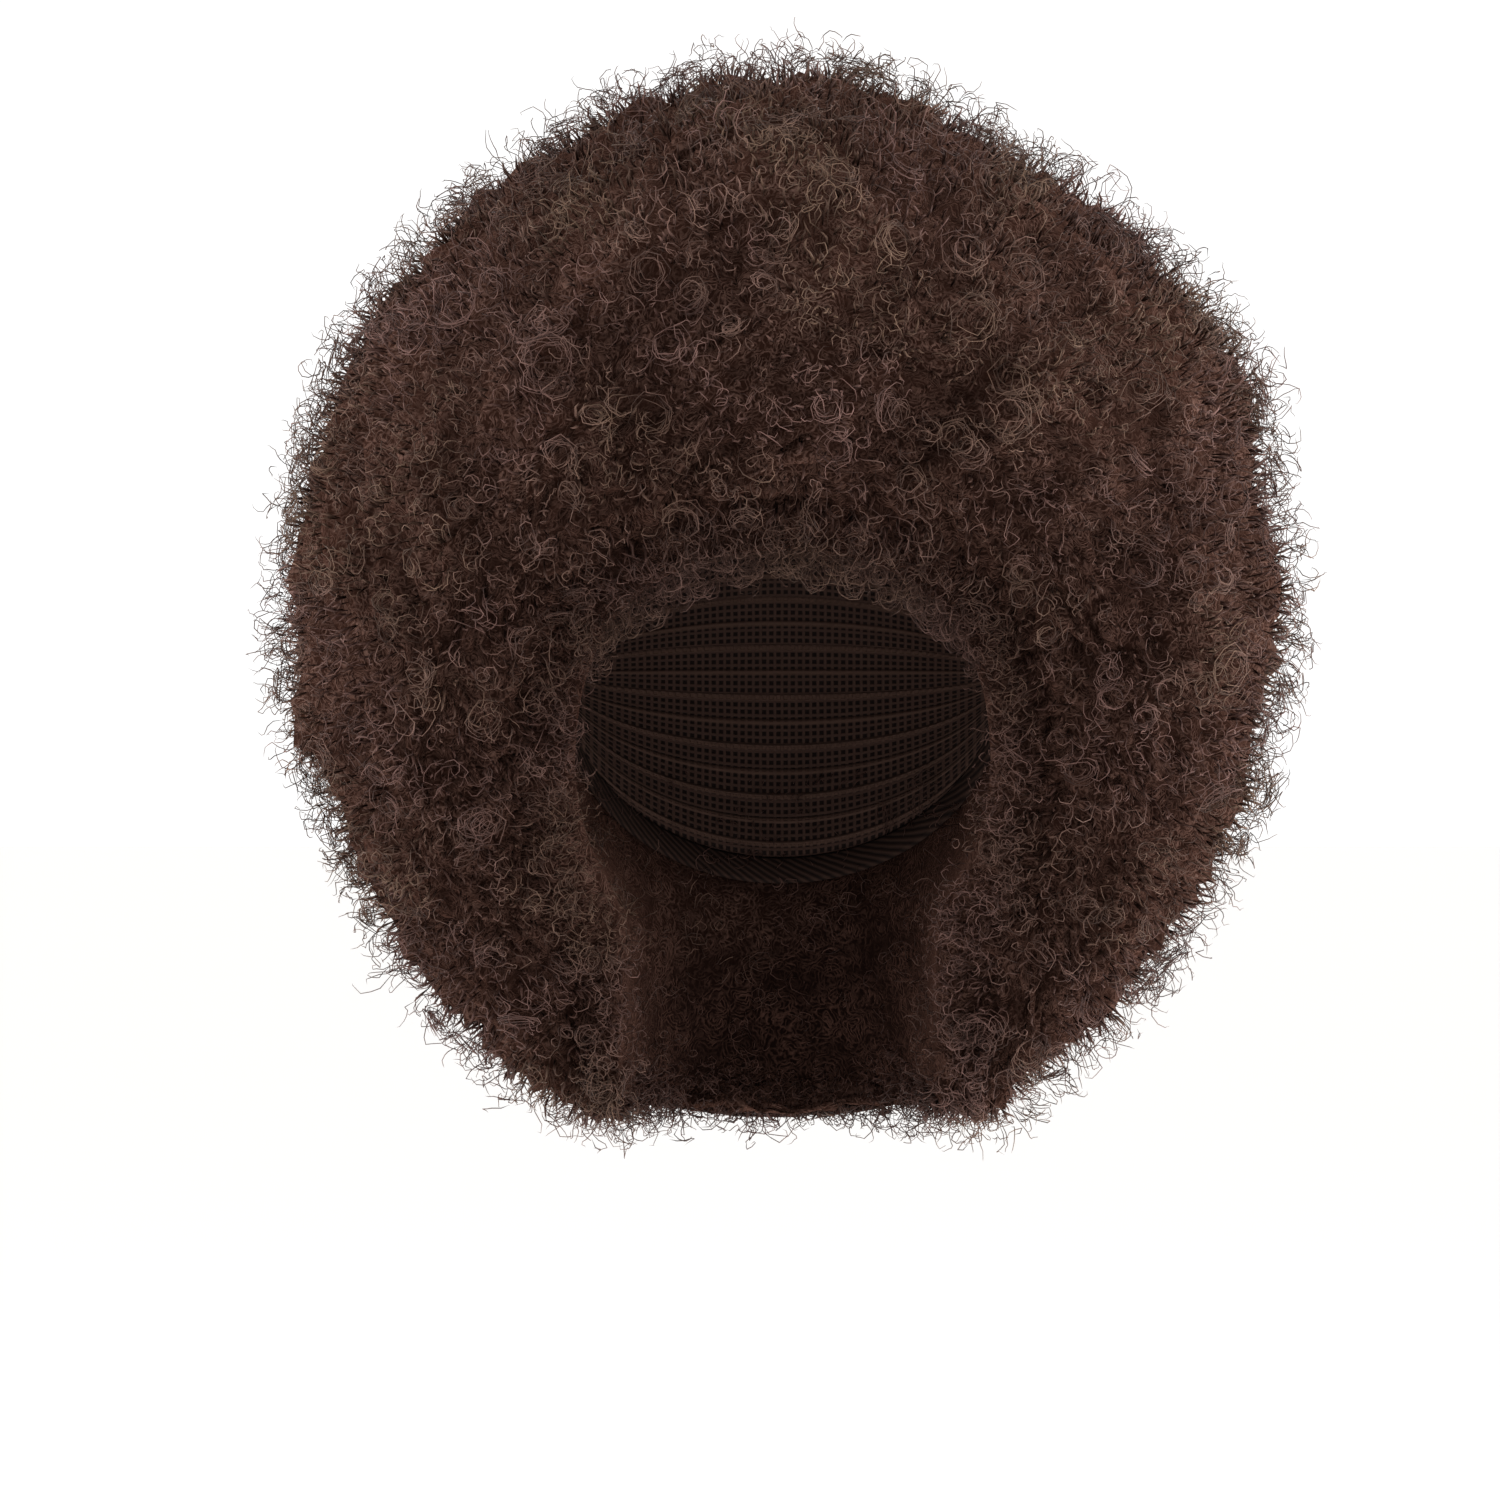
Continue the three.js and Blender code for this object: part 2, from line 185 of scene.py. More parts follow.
def read_node(name):
    """Corners and triangles of a frame node: its loose triangles' corners, merged where
    they round to the same hundredth of a millimetre."""
    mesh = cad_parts[name].data
    mesh.calc_loop_triangles()
    points = np.empty(len(mesh.vertices) * 3)
    corners = np.empty(len(mesh.loop_triangles) * 3, np.int32)
    mesh.vertices.foreach_get("co", points)
    mesh.loop_triangles.foreach_get("vertices", corners)
    points = points.reshape(-1, 3)
    keys = np.round(points / MERGE).astype(np.int64)
    _, first, index = np.unique(keys, axis=0, return_index=True, return_inverse=True)
    return points[first], index.reshape(-1)[corners].reshape(-1, 3)


def divide(points, triangles):
    """One step of Loop subdivision: an edge's new corner is 3/8 of its two ends and 1/8
    of the corners opposite, an old corner moves 3/8 of the way to its neighbours' mean,
    and each triangle is cut in four."""
    sides = np.concatenate([triangles[:, [0, 1]], triangles[:, [1, 2]], triangles[:, [2, 0]]])
    opposite = np.concatenate([triangles[:, 2], triangles[:, 0], triangles[:, 1]])
    edges, which = np.unique(np.sort(sides, axis=1), axis=0, return_inverse=True)
    which = which.reshape(-1)
    wings = np.zeros((len(edges), 3))
    np.add.at(wings, which, points[opposite])
    middles = 0.375 * (points[edges[:, 0]] + points[edges[:, 1]]) + 0.125 * wings
    around = np.zeros_like(points)
    np.add.at(around, edges[:, 0], points[edges[:, 1]])
    np.add.at(around, edges[:, 1], points[edges[:, 0]])
    count = np.bincount(edges.ravel(), minlength=len(points))[:, None]
    moved = 0.625 * points + 0.375 * around / count
    ab, bc, ca = which.reshape(3, -1) + len(points)
    a, b, c = triangles.T
    parts = [(a, ab, ca), (ab, b, bc), (ca, bc, c), (ab, bc, ca)]
    return np.concatenate([moved, middles]), np.concatenate([np.stack(p, 1) for p in parts])


def corner_normals(points, triangles):
    """Normal at each corner: the sum of its triangles' normals, weighted by area."""
    a, b, c = (points[triangles[:, i]] for i in range(3))
    faces = np.cross(b - a, c - a)
    total = np.zeros_like(points)
    for i in range(3):
        np.add.at(total, triangles[:, i], faces)
    return unit(total)


def smoothed(points, triangles, steps):
    """Corners after that many steps in which each goes to the mean of its neighbours."""
    sides = np.concatenate([triangles[:, [0, 1]], triangles[:, [1, 2]], triangles[:, [2, 0]]])
    count = np.bincount(sides[:, 0], minlength=len(points))
    for _ in range(steps):
        points = np.stack([
            np.bincount(sides[:, 0], points[sides[:, 1], axis], len(points)) / count
            for axis in range(3)
        ], 1)
    return points


def build_mesh(name, points, polygons, uv=None):
    """Mesh object from an array of points and a list of polygon arrays, each with one
    number of corners, in which uv holds the map's places in the same order."""
    mesh = bpy.data.meshes.new(name)
    sizes = np.concatenate([np.full(len(p), p.shape[1], np.int32) for p in polygons])
    starts = np.concatenate([[0], np.cumsum(sizes)[:-1]]).astype(np.int32)
    corners = np.concatenate([p.ravel() for p in polygons]).astype(np.int32)
    mesh.vertices.add(len(points))
    mesh.vertices.foreach_set("co", points.astype(np.float32).ravel())
    mesh.loops.add(len(corners))
    mesh.loops.foreach_set("vertex_index", corners)
    mesh.polygons.add(len(sizes))
    mesh.polygons.foreach_set("loop_start", starts)
    if uv is not None:
        layer = mesh.uv_layers.new(name="OFBake")
        layer.data.foreach_set("uv", np.concatenate(uv).astype(np.float32).ravel())
    mesh.update(calc_edges=True)
    mesh.validate()
    mesh.shade_smooth()
    made = bpy.data.objects.new(name, mesh)
    bpy.context.scene.collection.objects.link(made)
    return made


def dress(piece, material, nodes=()):
    """Gives a piece its material and the body that it rides on, and hides the frame nodes that it
    stands for."""
    piece.data.materials.append(material)
    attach(piece, "root")
    if nodes:
        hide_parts(*nodes)
    return piece


# Materials

def fibre_strand_material():
    """Kinked modacrylic fibre: soft semi-matt strands whose colour runs from near black at the root,
    a painted shade where the strands pack close, to warm dark brown at the tip, paler where the tone
    along U is higher, which holds painted light and shade as well as the fibre's own tone, and a
    little yellower in patches about 45 mm across."""
    material = new_material("kinked_modacrylic_fibre")
    strand_map = add_node(material, "ShaderNodeUVMap", uv_map="OFBake")
    axes = add_node(material, "ShaderNodeSeparateXYZ", {0: strand_map.outputs[0]})
    place = add_node(material, "ShaderNodeTexCoord")
    patches = add_node(material, "ShaderNodeTexNoise", {
        "Vector": place.outputs["Object"], "Scale": 1 / (45 * MM), "Detail": 1.0,
    })
    yellower = add_node(material, "ShaderNodeMapRange", {
        0: patches.outputs[0], 1: 0.42, 2: 0.62, 3: 0.0, 4: 1.0,
    })
    pale = add_node(material, "ShaderNodeMix", {
        0: yellower.outputs[0], 6: linear("#7e6059"), 7: linear("#786050"),
    }, data_type="RGBA")
    # U carries painted light and shade from the hair's surface as well as the strand's own tone
    tip_tone = add_node(material, "ShaderNodeMix", {
        0: axes.outputs[0], 6: linear("#3e2a24"), 7: pale.outputs[2],
    }, data_type="RGBA")
    # Painted shade: the strand is near black at its root and reaches its tone at 55 % of its length
    painted_root_shade_mask = add_node(material, "ShaderNodeMapRange", {
        0: axes.outputs[1], 1: 0.0, 2: 0.55, 3: 0.0, 4: 1.0,
    })
    colour = add_node(material, "ShaderNodeMix", {
        0: painted_root_shade_mask.outputs[0], 6: linear("#1c100d"), 7: tip_tone.outputs[2],
    }, data_type="RGBA")
    shader = add_node(material, "ShaderNodeBsdfPrincipled", {
        "Base Color": colour.outputs[2], "Roughness": 0.45, "Specular IOR Level": 0.1,
    })
    return finish_material(material, shader)


def ring_lines(material, place, shift, cell, spacing):
    """Lines of strands wound round the middles of curls: distance to the nearest of a
    cloud of points a cell apart, in steps of the spacing, each step a narrow line that
    fades in and out along its length. Returns the lines and the distance, in cells."""
    moved = add_node(material, "ShaderNodeVectorMath", {0: place, 1: shift}, operation="ADD")
    curls = add_node(material, "ShaderNodeTexVoronoi", {
        "Vector": moved.outputs[0], "Scale": 1 / cell, "Randomness": 1.0,
    })
    wave = add_node(material, "ShaderNodeMath", {
        0: curls.outputs["Distance"], 1: 2 * math.pi * cell / spacing,
    }, operation="MULTIPLY")
    rings = add_node(material, "ShaderNodeMath", {0: wave.outputs[0]}, operation="SINE")
    line = add_node(material, "ShaderNodeMapRange", {
        0: rings.outputs[0], 1: 0.1, 2: 0.95, 3: 0.0, 4: 1.0,
    })
    fade = add_node(material, "ShaderNodeTexNoise", {
        "Vector": moved.outputs[0], "Scale": 1 / (3.5 * MM), "Detail": 2.0,
    })
    strength = add_node(material, "ShaderNodeMapRange", {
        0: fade.outputs[0], 1: 0.38, 2: 0.66, 3: 0.0, 4: 1.0,
    })
    lines = add_node(material, "ShaderNodeMath", {
        0: line.outputs[0], 1: strength.outputs[0],
    }, operation="MULTIPLY")
    return lines.outputs[0], curls.outputs["Distance"]


def fibre_body_material():
    """The same fibre packed deep: three layers of strands, 1.1 to 1.7 mm apart, wound into curls 9
    to 14 mm across, over near black painted shade in the hollows between the curls, where the lines
    fade out. The piece's own light attribute paints shade in the hollows between the locks and on
    the hair at the openings, on both the strands and the gaps."""
    material = new_material("packed_modacrylic_curls")
    place = add_node(material, "ShaderNodeTexCoord").outputs["Object"]
    bend = add_node(material, "ShaderNodeTexNoise", {
        "Vector": place, "Scale": 1 / (7 * MM), "Detail": 3.0,
    })
    bent = add_node(material, "ShaderNodeVectorMath", {
        0: bend.outputs["Color"], 1: (7 * MM,) * 3, 2: place,
    }, operation="MULTIPLY_ADD").outputs[0]
    layers = [
        ring_lines(material, bent, (0, 0, 0), 14 * MM, 1.7 * MM),
        ring_lines(material, bent, (0.13, 0.07, 0.05), 11 * MM, 1.4 * MM),
        ring_lines(material, bent, (0.05, 0.19, 0.11), 9 * MM, 1.1 * MM),
    ]
    lines = layers[0][0]
    for layer in layers[1:]:
        lines = add_node(material, "ShaderNodeMath", {0: lines, 1: layer[0]},
                         operation="MAXIMUM").outputs[0]
    # Painted shade: the lines fade towards the edges of the largest curls, over the near black gaps
    # between them
    painted_gap_shade_mask = add_node(material, "ShaderNodeMapRange", {
        0: layers[0][1], 1: 0.3, 2: 0.85, 3: 1.0, 4: 0.3,
    })
    seen = add_node(material, "ShaderNodeMath", {0: lines, 1: painted_gap_shade_mask.outputs[0]},
                    operation="MULTIPLY")
    # Painted shade: the gaps' near black and the strands' brown both darken with the light attribute
    light = add_node(material, "ShaderNodeAttribute", attribute_name="light")
    painted_gap_colour = add_node(material, "ShaderNodeMix", {
        0: light.outputs["Fac"], 6: linear("#0c0605"), 7: linear("#2a1913"),
    }, data_type="RGBA")
    strand = add_node(material, "ShaderNodeMix", {
        0: light.outputs["Fac"], 6: linear("#3a2822"), 7: linear("#6c534a"),
    }, data_type="RGBA")
    colour = add_node(material, "ShaderNodeMix", {
        0: seen.outputs[0], 6: painted_gap_colour.outputs[2], 7: strand.outputs[2],
    }, data_type="RGBA")
    bump = add_node(material, "ShaderNodeBump", {
        "Height": seen.outputs[0], "Strength": 0.8, "Distance": 0.8 * MM,
    })
    shader = add_node(material, "ShaderNodeBsdfPrincipled", {
        "Base Color": colour.outputs[2], "Roughness": 0.9, "Specular IOR Level": 0.0,
        "Sheen Weight": 0.3, "Sheen Roughness": 0.5, "Sheen Tint": linear("#9a6f60"),
        "Normal": bump.outputs[0],
    })
    return finish_material(material, shader)


def cap_net_material():
    """Knitted polyester stretch net: matt dark thread round small square holes, drawn
    2.6 mm apart so that they show, in courses from side to side over the head, crossed
    by the raised rows of stitching, 9 mm apart, that carry the curls."""
    material = new_material("knitted_stretch_net")
    place = add_node(material, "ShaderNodeTexCoord")
    axes = add_node(material, "ShaderNodeSeparateXYZ", {0: place.outputs["Object"]})
    down = add_node(material, "ShaderNodeMath", {0: axes.outputs[2], 1: CAP_RADIUS},
                    operation="ADD")
    along = add_node(material, "ShaderNodeMath", {0: axes.outputs[1], 1: down.outputs[0]},
                     operation="ARCTAN2")
    row_wave = add_node(material, "ShaderNodeMath", {
        0: along.outputs[0], 1: 2 * math.pi * CAP_RADIUS / (9 * MM),
    }, operation="MULTIPLY")
    rows = add_node(material, "ShaderNodeMath", {0: row_wave.outputs[0]}, operation="SINE")
    row = add_node(material, "ShaderNodeMapRange", {
        0: rows.outputs[0], 1: 0.6, 2: 0.95, 3: 0.0, 4: 1.0,
    })
    course_wave = add_node(material, "ShaderNodeMath", {
        0: along.outputs[0], 1: 2 * math.pi * CAP_RADIUS / (2.6 * MM),
    }, operation="MULTIPLY")
    course = add_node(material, "ShaderNodeMath", {0: course_wave.outputs[0]},
                      operation="SINE")
    wale_wave = add_node(material, "ShaderNodeMath", {
        0: axes.outputs[0], 1: 2 * math.pi / (2.6 * MM),
    }, operation="MULTIPLY")
    wale = add_node(material, "ShaderNodeMath", {0: wale_wave.outputs[0]}, operation="SINE")
    both = add_node(material, "ShaderNodeMath", {
        0: course.outputs[0], 1: wale.outputs[0],
    }, operation="MAXIMUM")
    thread = add_node(material, "ShaderNodeMapRange", {
        0: both.outputs[0], 1: -0.2, 2: 0.6, 3: 0.0, 4: 1.0,
    })
    net = add_node(material, "ShaderNodeMix", {
        0: thread.outputs[0], 6: linear("#150d0b"), 7: linear("#3f2e28"),
    }, data_type="RGBA")
    colour = add_node(material, "ShaderNodeMix", {
        0: row.outputs[0], 6: net.outputs[2], 7: linear("#4a372f"),
    }, data_type="RGBA")
    height = add_node(material, "ShaderNodeMath", {
        0: row.outputs[0], 1: 2.0, 2: thread.outputs[0],
    }, operation="MULTIPLY_ADD")
    bump = add_node(material, "ShaderNodeBump", {
        "Height": height.outputs[0], "Strength": 0.8, "Distance": 0.5 * MM,
    })
    shader = add_node(material, "ShaderNodeBsdfPrincipled", {
        "Base Color": colour.outputs[2], "Roughness": 0.8, "Specular IOR Level": 0.1,
        "Normal": bump.outputs[0],
    })
    return finish_material(material, shader)


def elastic_material():
    """Woven elastic: matt dark band with a fine slanting rib every 2 mm."""
    material = new_material("woven_elastic")
    place = add_node(material, "ShaderNodeTexCoord")
    rib = add_node(material, "ShaderNodeTexWave", {
        "Vector": place.outputs["Object"], "Scale": 2 * math.pi / 20 / (2 * MM),
        "Distortion": 0.4, "Detail": 1.0,
    }, bands_direction="DIAGONAL")
    colour = add_node(material, "ShaderNodeMix", {
        0: rib.outputs[1], 6: linear("#140c0a"), 7: linear("#34251f"),
    }, data_type="RGBA")
    bump = add_node(material, "ShaderNodeBump", {
        "Height": rib.outputs[1], "Strength": 0.6, "Distance": 0.4 * MM,
    })
    shader = add_node(material, "ShaderNodeBsdfPrincipled", {
        "Base Color": colour.outputs[2], "Roughness": 0.85, "Specular IOR Level": 0.1,
        "Normal": bump.outputs[0],
    })
    return finish_material(material, shader)


def floor_material():
    """Plain pale paint."""
    material = new_material("plain_pale_floor")
    shader = add_node(material, "ShaderNodeBsdfPrincipled", {
        "Base Color": linear("#f6f4f2"), "Roughness": 0.8,
    })
    return finish_material(material, shader)


# Surface of the hair

def hair_surface():
    """The frame's hair with each triangle cut in four, as a dict: points, triangles and normals,
    which corners and triangles are outside, each corner's distance to the hair's edge, where outside
    meets inside, and its share of light, which the colours carry as painted shade: less in the
    hollows between the locks, by its height over the smoothed surface, and less towards the edge."""
    points, triangles = divide(*read_node("hair"))
    normals = corner_normals(points, triangles)
    a, b, c = (points[triangles[:, i]] for i in range(3))
    facing = unit(np.cross(b - a, c - a))
    middle_rays = unit((a + b + c) / 3 - BOWL_CENTRE)
    face_outside = np.einsum("ij,ij->i", facing, middle_rays) > OUTSIDE_FACING
    touched = np.zeros((len(points), 2), bool)
    for side, chosen in enumerate((face_outside, ~face_outside)):
        touched[triangles[chosen].ravel(), side] = True
    edge = points[touched.all(axis=1)]
    squares = (points ** 2).sum(1)[:, None] + (edge ** 2).sum(1) - 2 * points @ edge.T
    edge_distance = np.sqrt(np.maximum(squares.min(axis=1), 0))
    raised = points - smoothed(points, triangles, SMOOTHING_STEPS)
    height = np.einsum("ij,ij->i", raised, normals)
    height = height - np.median(height[touched[:, 0]])
    # Painted shade: this share of light darkens the colours in the hollows between the locks and
    # towards the edge
    open_air = np.clip(0.5 + height / LOCK_RELIEF, 0, 1)
    from_edge = np.clip(edge_distance / SHADE_REACH, 0, 1)
    light = open_air * (EDGE_LIGHT + (1 - EDGE_LIGHT) * from_edge)
    return {
        "points": points, "triangles": triangles, "normals": normals,
        "outside": touched[:, 0], "face_outside": face_outside, "edge": edge_distance,
        "light": light,
    }


def pick_roots(surface, faces, count):
    """Places spread evenly by area over the chosen triangles: equal steps along the sum of
    their areas, each moved by chance within its step, and a random point in the triangle.
    Returns the points, normals, edge distances and shares of light there."""
    triangles = surface["triangles"][faces]
    a, b, c = (surface["points"][triangles[:, i]] for i in range(3))
    reach = np.cumsum(np.linalg.norm(np.cross(b - a, c - a), axis=1))
    steps = (np.arange(count) + rng.random(count)) / count * reach[-1]
    chosen = np.minimum(np.searchsorted(reach, steps), len(triangles) - 1)
    share = rng.random((count, 2))
    share = np.where(share.sum(1, keepdims=True) > 1, 1 - share, share)
    weights = np.column_stack([1 - share.sum(1), share])
    corners = triangles[chosen]
    blend = [np.einsum("ij,ij...->i...", weights, surface[key][corners])
             for key in ("points", "normals", "edge", "light")]
    return blend[0], unit(blend[1]), blend[2], blend[3]


def soft_tone(points, scale, waves=14):
    """Slow change of tone over the wig, 0 to 1 about 0.5: a sum of plane waves with
    random directions and phases, each 0.7 to 1.5 times the scale long."""
    directions = unit(rng.normal(size=(waves, 3)))
    phases = rng.random(waves) * 2 * math.pi
    sizes = scale * (0.7 + 0.8 * rng.random(waves))
    total = np.sin(points @ directions.T * (2 * math.pi / sizes) + phases).sum(1)
    return np.clip(0.5 + 0.5 * total / math.sqrt(waves), 0, 1)


# Strands

def tangent_frame(normals, turn):
    """Two unit vectors square to each normal, turned round it by an angle."""
    upright = np.where(np.abs(normals[:, 2:]) < 0.9, [[0.0, 0.0, 1.0]], [[1.0, 0.0, 0.0]])
    first = unit(np.cross(upright, normals))
    second = np.cross(normals, first)
    cos, sin = np.cos(turn)[:, None], np.sin(turn)[:, None]
    return first * cos + second * sin, second * cos - first * sin


def strand_paths(roots, normals, kind, size, cover):
    """Centrelines of the strands of one kind, as an array of strands by points. Each
    bundle has an axis that leans from the surface's normal, and its strands wind round it
    side by side: a ring whose start is spread about its lowest point and whose radius
    wavers and shrinks towards the tip, a slow climb along the normal, a small kink by
    chance at each point, and a root that dips under the surface. Size scales a bundle, and
    cover is the share of the full depth that it may lie under the surface."""
    bundles, per, steps = len(roots), kind["strands"], kind["segments"]
    lean = np.radians(kind["lean"] * rng.random(bundles))
    side, across = tangent_frame(normals, rng.random(bundles) * 2 * math.pi)
    axis = normals * np.cos(lean)[:, None] + side * np.sin(lean)[:, None]
    low, high = kind["radius"]
    radius = (low + (high - low) * rng.random(bundles) ** SMALL_CURLS) * MM * size
    deepest = kind["low"] * cover
    level = (deepest + (kind["high"] - deepest) * rng.random(bundles)) * MM
    phase = rng.normal(-math.pi / 2, kind["start"], bundles)
    sense = np.where(rng.random(bundles) < 0.5, -1.0, 1.0)

    def spread(values):
        return np.repeat(values, per, axis=0)

    strands = bundles * per
    axis = unit(spread(axis) + rng.normal(0, kind["stray"], (strands, 3)))
    first = unit(spread(across) - axis * np.einsum("ij,ij->i", spread(across), axis)[:, None])
    second = np.cross(axis, first)
    s = np.linspace(0, 1, steps + 1)[None, :]
    turns = (kind["turns"][0] + (kind["turns"][1] - kind["turns"][0]) * rng.random(strands))
    ring = spread(radius) * (RING_LEAST + RING_SPREAD * rng.random(strands))
    start = spread(phase) + rng.normal(0, OWN_START * kind["start"], strands)
    angle = start[:, None] + spread(sense)[:, None] * turns[:, None] * 2 * math.pi * s
    shrink = 1 - kind["shrink"] * s
    wavering = 1 + WAVER * np.sin(s * WAVER_TURN + rng.random((strands, 1)) * WAVER_PHASE)
    reach = (ring[:, None] * shrink * wavering)[..., None]
    climb = kind["climb"] * MM * (0.5 + rng.random(strands)) * spread(size)
    kink = rng.normal(0, kind["kink"] * MM, (strands, steps + 1, 3))
    dip = kind["dip"] * MM * np.clip(1 - s / DIP_LENGTH, 0, 1) ** 2
    height = spread(level)[:, None] + climb[:, None] * s - dip * spread(size)[:, None]
    centre = spread(roots) + rng.normal(0, kind["scatter"] * MM, (strands, 3))
    path = centre[:, None] + spread(normals)[:, None] * height[..., None]
    path = path + first[:, None] * np.cos(angle)[..., None] * reach
    return path + second[:, None] * np.sin(angle)[..., None] * reach + kink


def strand_mesh(paths, tones, width, tip):
    """Three-sided tubes along the paths, with one point at the root and one at the tip.
    The width swells from about a third at the root and narrows to the tip's share. In the
    map, U is the strand's tone and V runs from root to tip."""
    strands, count = paths.shape[:2]
    s = np.linspace(0, 1, count)
    along = unit(np.gradient(paths, axis=1))
    middle = paths.mean(axis=1, keepdims=True)
    outward = unit(paths - middle)
    normal = unit(outward - along * np.einsum("ijk,ijk->ij", outward, along)[..., None])
    binormal = np.cross(along, normal)
    radius = width / 2 * np.minimum(1, 0.35 + 3 * s) * (1 - (1 - tip) * s ** 1.5)
    angles = np.arange(3) * 2 * math.pi / 3
    offsets = (normal[:, :, None] * np.cos(angles)[:, None]
               + binormal[:, :, None] * np.sin(angles)[:, None])
    rings = (paths[:, :, None] + offsets * radius[None, :, None, None])[:, 1:-1]
    per = 3 * (count - 2) + 2
    points = np.concatenate([paths[:, :1], rings.reshape(strands, -1, 3), paths[:, -1:]], 1)
    base = np.arange(strands)[:, None, None] * per
    j, k = np.meshgrid(np.arange(count - 3), np.arange(3), indexing="ij")
    near = 1 + 3 * j + k
    turn = 1 + 3 * j + (k + 1) % 3
    quads = np.stack([near, turn, turn + 3, near + 3], -1).reshape(-1, 4)
    k = np.arange(3)
    root = np.stack([np.zeros(3, int), 1 + (k + 1) % 3, 1 + k], -1)
    last = per - 4 + k
    end = np.stack([last, per - 4 + (k + 1) % 3, np.full(3, per - 1)], -1)
    fans = np.concatenate([root, end])
    quad_uv = quad_places(s, j.ravel(), np.tile(k, count - 3))
    fan_uv = fan_places(s)
    tone = tones[:, None, None, None]
    shift = np.array([1.0, 0.0])
    uv = [
        (quad_uv[None] + tone * shift).reshape(-1, 2),
        (fan_uv[None] + tone * shift).reshape(-1, 2),
    ]
    polygons = [(base + quads[None]).reshape(-1, 4), (base + fans[None]).reshape(-1, 3)]
    return points.reshape(-1, 3), polygons, uv


def quad_places(s, j, k):
    """Map places of one strand's quads, before its tone: a narrow column for each side."""
    left, right = k * TONE_WIDTH / 3, (k + 1) * TONE_WIDTH / 3
    low, high = s[j + 1], s[j + 2]
    corners = [(left, low), (right, low), (right, high), (left, high)]
    return np.stack([np.stack(corner, -1) for corner in corners], 1)


def fan_places(s):
    """Map places of one strand's root and tip triangles, before its tone."""
    k = np.arange(3)
    left, right, middle = (k * TONE_WIDTH / 3, (k + 1) * TONE_WIDTH / 3,
                           (k + 0.5) * TONE_WIDTH / 3)
    level = np.ones(3)
    root = [(middle, 0 * level), (right, s[1] * level), (left, s[1] * level)]
    end = [(left, s[-2] * level), (right, s[-2] * level), (middle, level)]
    fans = [np.stack([np.stack(corner, -1) for corner in fan], 1) for fan in (root, end)]
    return np.concatenate(fans)


# Kinds of strand, with lengths in millimetres. lean, in degrees, is the most that a bundle's axis
# leans from the surface's normal; low and high bound the bundle's height over the surface, climb is
# about how far its strands rise from root to tip, and dip is how deep their roots go; start, in
# radians, is the spread of the roots round the ring's lowest point; stray is the share by which each
# strand's axis leaves its bundle's; kink and scatter are the spreads of its points and of its ring's
# middle; shrink is the share of the radius lost at the tip; tip is the tip's share of the width, and
# painted_light_shift is added to the tone: painted light that makes the coils, wisps and loose ends
# lighter, and painted shade that makes the tufts darker. Fibre is drawn three to five times its real
# width of 0.1 mm, so that it shows, and a tuft stands for a bunch packed close.
STRAND_KINDS = {
    "curl": {"strands": 4, "segments": 6, "lean": 80, "radius": (2.8, 6.8), "turns": (0.4, 0.85),
             "start": 2.2, "low": -6.5, "high": 3.0, "climb": 3.0, "kink": 0.15, "dip": 2.0,
             "shrink": 0.3, "stray": 0.35, "scatter": 2.5, "width": 0.46, "tip": 0.45,
             "painted_light_shift": 0.0},
    "swirl": {"strands": 7, "segments": 8, "lean": 40, "radius": (5.0, 9.5), "turns": (0.5, 1.0),
              "start": 3.0, "low": -2.5, "high": 1.5, "climb": 1.0, "kink": 0.08, "dip": 2.0,
              "shrink": 0.2, "stray": 0.12, "scatter": 0.8, "width": 0.4, "tip": 0.5,
              "painted_light_shift": 0.0},
    "coil": {"strands": 3, "segments": 9, "lean": 80, "radius": (1.8, 4.0), "turns": (0.8, 1.4),
             "start": 2.2, "low": -5.5, "high": 3.0, "climb": 3.0, "kink": 0.15, "dip": 2.0,
             "shrink": 0.3, "stray": 0.35, "scatter": 2.5, "width": 0.46, "tip": 0.45,
             "painted_light_shift": 0.03},
    "wisp": {"strands": 1, "segments": 7, "lean": 85, "radius": (2.5, 5.5), "turns": (0.5, 1.0),
             "start": 1.0, "low": -3.0, "high": 5.0, "climb": 5.0, "kink": 0.25, "dip": 6.0,
             "shrink": 0.35, "stray": 0.0, "scatter": 0.5, "width": 0.42, "tip": 0.35,
             "painted_light_shift": 0.1},
    "loose": {"strands": 1, "segments": 14, "lean": 85, "radius": (5.0, 9.0), "turns": (0.6, 1.2),
              "start": 0.7, "low": 0.0, "high": 4.0, "climb": 4.5, "kink": 0.3, "dip": 9.0,
              "shrink": 0.45, "stray": 0.0, "scatter": 0.5, "width": 0.42, "tip": 0.35,
              "painted_light_shift": 0.15},
    "tuft": {"strands": 1, "segments": 3, "lean": 70, "radius": (2.0, 4.0), "turns": (0.15, 0.4),
             "start": 0.8, "low": -9.5, "high": -5.0, "climb": 4.0, "kink": 0.0, "dip": 4.0,
             "shrink": 0.2, "stray": 0.0, "scatter": 0.5, "width": 1.3, "tip": 0.2,
             "painted_light_shift": -0.2},
}
HAIRLINE_CURL = {"strands": 3, "segments": 10, "lean": 35, "radius": (2.2, 5.4), "turns": (0.6, 1.1),
                 "start": 2.0, "low": -0.5, "high": 2.0, "climb": 1.0, "kink": 0.06, "dip": 0.5,
                 "shrink": 0.25, "stray": 0.12, "scatter": 0.8, "width": 0.32, "tip": 0.4}
OUTSIDE_SHARES = {
    "curl": 0.36, "swirl": 0.17, "coil": 0.07, "wisp": 0.15, "loose": 0.02, "tuft": 0.23,
}
INSIDE_SHARES = {"curl": 0.6, "coil": 0.4}
EDGE_SHARES = {"curl": 0.42, "coil": 0.2, "wisp": 0.2, "tuft": 0.18}


def triangles_of(kind):
    """Triangles in one bundle of a kind: six for each segment but the two ends' three."""
    return kind["strands"] * (6 * kind["segments"] - 6)


